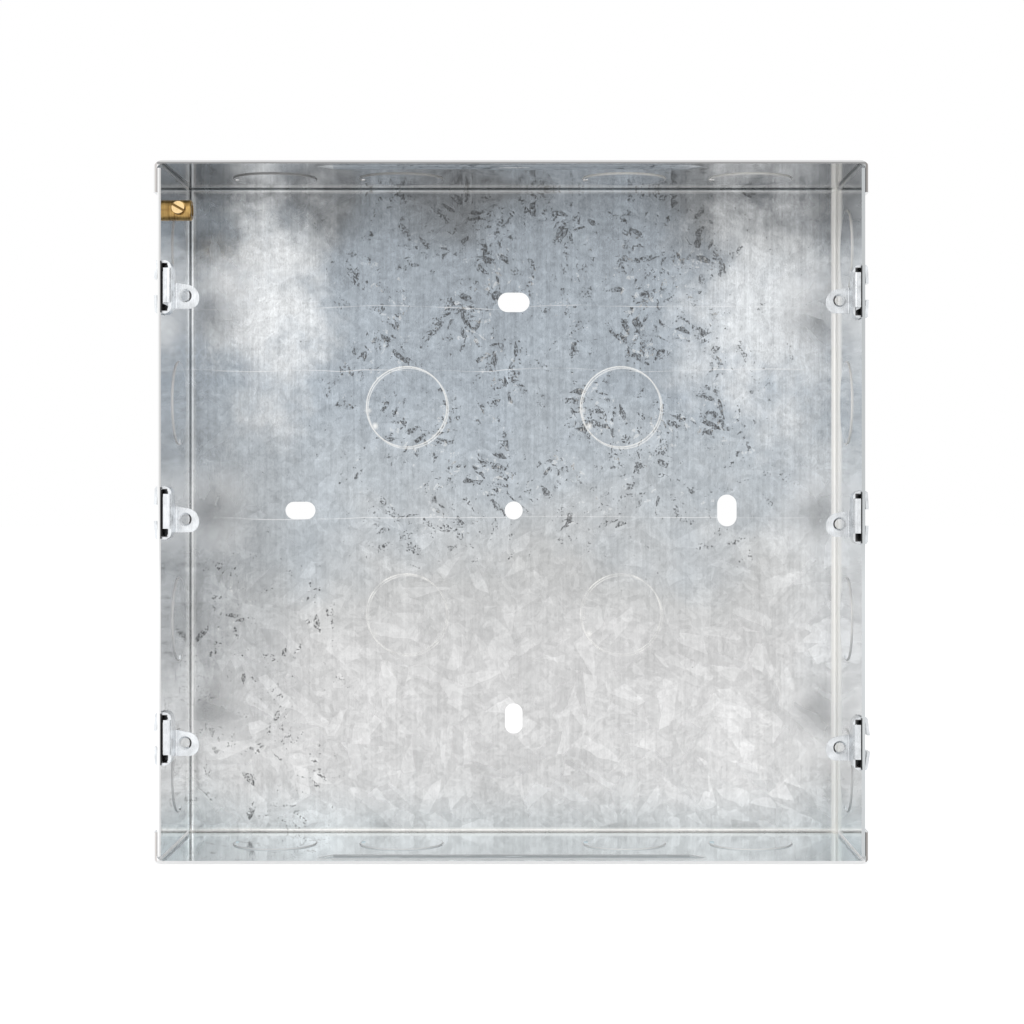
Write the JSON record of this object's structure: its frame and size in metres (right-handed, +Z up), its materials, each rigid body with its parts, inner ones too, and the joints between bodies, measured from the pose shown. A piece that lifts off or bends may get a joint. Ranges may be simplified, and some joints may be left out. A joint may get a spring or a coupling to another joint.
{
  "type": "flush back box",
  "caption": "Square folded-steel wall box, open at the front, with sheared conduit discs, slotted back, clinched screw lugs and a brass earth terminal.",
  "frame": {"origin": "centre of the round hole in the back, at the back's outer face", "axes": "+Y out of the back into the wall, so the open front faces -Y; +Z up as it stands in a wall; +X to the right for someone who looks in from the front"},
  "size_m": [0.2058, 0.057, 0.202],
  "materials": {
    "galvanised_sheet": "spangled galvanised sheet, glossy",
    "bright_zinc": "bright zinc plate, smooth",
    "brass": "turned brass"
  },
  "bodies": {
    "root": {"box_body": "galvanised_sheet", "lug_left_top": "bright_zinc", "lug_left_middle": "bright_zinc", "lug_left_bottom": "bright_zinc", "lug_right_top": "bright_zinc", "lug_right_middle": "bright_zinc", "lug_right_bottom": "bright_zinc", "earth_terminal": "brass", "earth_screw": "brass"}
  },
  "joints": []
}
